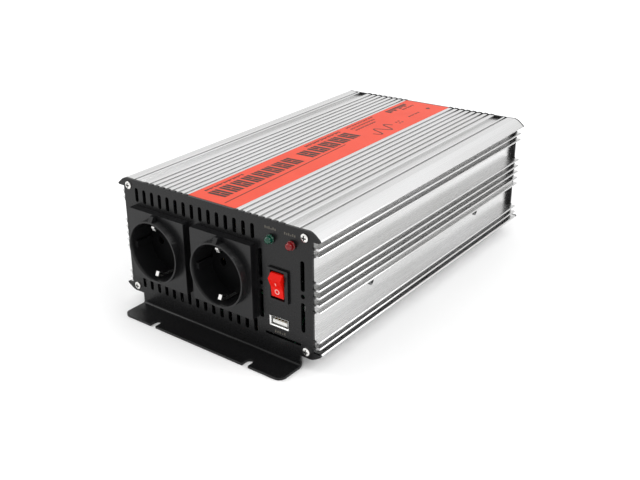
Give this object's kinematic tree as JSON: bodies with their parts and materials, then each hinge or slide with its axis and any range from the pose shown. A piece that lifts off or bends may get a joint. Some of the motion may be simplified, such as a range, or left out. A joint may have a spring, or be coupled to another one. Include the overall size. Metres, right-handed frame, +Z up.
{
  "type": "power inverter",
  "caption": "DC to AC power inverter: finned aluminium case between bent black end panels with flanges, earthed mains sockets, rocker switch, USB port, rear fan and screw terminals.",
  "frame": {"origin": "bottom centre of the overall box, on the surface the flanges rest on", "axes": "+X to the right seen from the front, -Y out of the front panel, +Z up"},
  "size_m": [0.1666, 0.3018, 0.0926],
  "materials": {
    "case_aluminium": "bright satin anodised extrusion",
    "panel_black": "black powder coat",
    "label_film": "printed polyester film",
    "screw_nickel": "bright nickel plate",
    "screw_black": "black oxide",
    "socket_black": "fine moulded satin",
    "insert_black": "fine moulded matt",
    "spring_nickel": "nickel-plated spring strip",
    "contact_brass": "machined brass",
    "contact_gold": "gold flash",
    "switch_black": "moulded, half gloss",
    "rocker_red": "moulded, half gloss",
    "led_green": "tinted epoxy",
    "led_red": "tinted epoxy",
    "usb_nickel": "nickel-plated sheet",
    "usb_white": "moulded",
    "board_green": "solder mask over laminate",
    "fan_black": "moulded satin",
    "guard_wire": "plated wire",
    "terminal_red": "moulded",
    "terminal_black": "moulded",
    "ferrite": "sintered ferrite",
    "coil_copper": "varnished copper wire",
    "capacitor_sleeve": "shrink sleeve",
    "chip_black": "moulded epoxy",
    "thermal_pad": "silicone sheet",
    "bar_aluminium": "mill finish",
    "bar_copper": "bare copper",
    "fuse_orange": "moulded",
    "choke_core": "coated powder core"
  },
  "bodies": {
    "case": {"upper_shell": "case_aluminium", "lower_shell": "case_aluminium", "front_panel": "panel_black", "rear_panel": "panel_black", "top_label": "label_film", "front_panel_screws": "screw_nickel", "rear_panel_screws": "screw_nickel", "side_screws": "screw_black", "socket_left": "socket_black", "socket_right": "socket_black", "socket_insert_left": "insert_black", "socket_insert_right": "insert_black", "earth_clips_left": "spring_nickel", "earth_clips_right": "spring_nickel", "socket_contacts_left": "contact_brass", "socket_contacts_right": "contact_brass", "switch_housing": "switch_black", "switch_terminals": "spring_nickel", "power_led": "led_green", "fault_led": "led_red", "led_collars": "switch_black", "usb_shell": "usb_nickel", "usb_tongue": "usb_white", "usb_contacts": "contact_gold", "usb_board": "board_green", "fan_frame": "fan_black", "fan_guard": "guard_wire", "fan_screws": "screw_nickel", "fan_nuts": "screw_nickel", "terminal_base_positive": "terminal_red", "terminal_base_negative": "terminal_black", "terminal_studs": "contact_brass", "terminal_insulators": "terminal_black", "stud_nuts": "contact_brass", "earth_screw": "contact_brass", "earth_nut": "contact_brass", "main_board": "board_green", "transformer_cores": "ferrite", "transformer_windings": "coil_copper", "input_capacitors": "capacitor_sleeve", "bus_capacitors": "capacitor_sleeve", "mosfets": "chip_black", "thermal_strips": "thermal_pad", "clamp_bars": "bar_aluminium", "busbars": "bar_copper", "fuses": "fuse_orange", "output_choke": "choke_core", "control_board": "board_green", "buzzer": "chip_black"},
    "rocker": {"switch_rocker": "rocker_red"},
    "fan": {"fan_rotor": "fan_black"},
    "washer_pos": {"washer_positive": "screw_nickel"},
    "knob_pos": {"knob_positive": "terminal_red"},
    "washer_neg": {"washer_negative": "screw_nickel"},
    "knob_neg": {"knob_negative": "terminal_black"}
  },
  "joints": [
    {"name": "rocker_tilt", "type": "hinge", "parent": "case", "child": "rocker", "pos_m": [0.053, -0.1289, 0.0518], "axis": [-1, 0, 0], "range_deg": [0, 28]},
    {"name": "fan_spin", "type": "hinge", "parent": "case", "child": "fan", "pos_m": [0.038, 0.123, 0.0505], "axis": [0, 1, 0], "continuous": true},
    {"name": "positive_travel", "type": "slide", "parent": "case", "child": "washer_pos", "axis": [0, 1, 0], "range_m": [0, 0.004]},
    {"name": "positive_turn", "type": "hinge", "parent": "washer_pos", "child": "knob_pos", "pos_m": [-0.05, 0.144, 0.0505], "axis": [0, 1, 0], "range_deg": [0, 1440]},
    {"name": "negative_travel", "type": "slide", "parent": "case", "child": "washer_neg", "axis": [0, 1, 0], "range_m": [0, 0.004]},
    {"name": "negative_turn", "type": "hinge", "parent": "washer_neg", "child": "knob_neg", "pos_m": [-0.022, 0.144, 0.0505], "axis": [0, 1, 0], "range_deg": [0, 1440]}
  ],
  "couplings": [
    {"joint": "positive_travel", "follows": "positive_turn", "m_per_rad": 0.000159},
    {"joint": "negative_travel", "follows": "negative_turn", "m_per_rad": 0.000159}
  ]
}
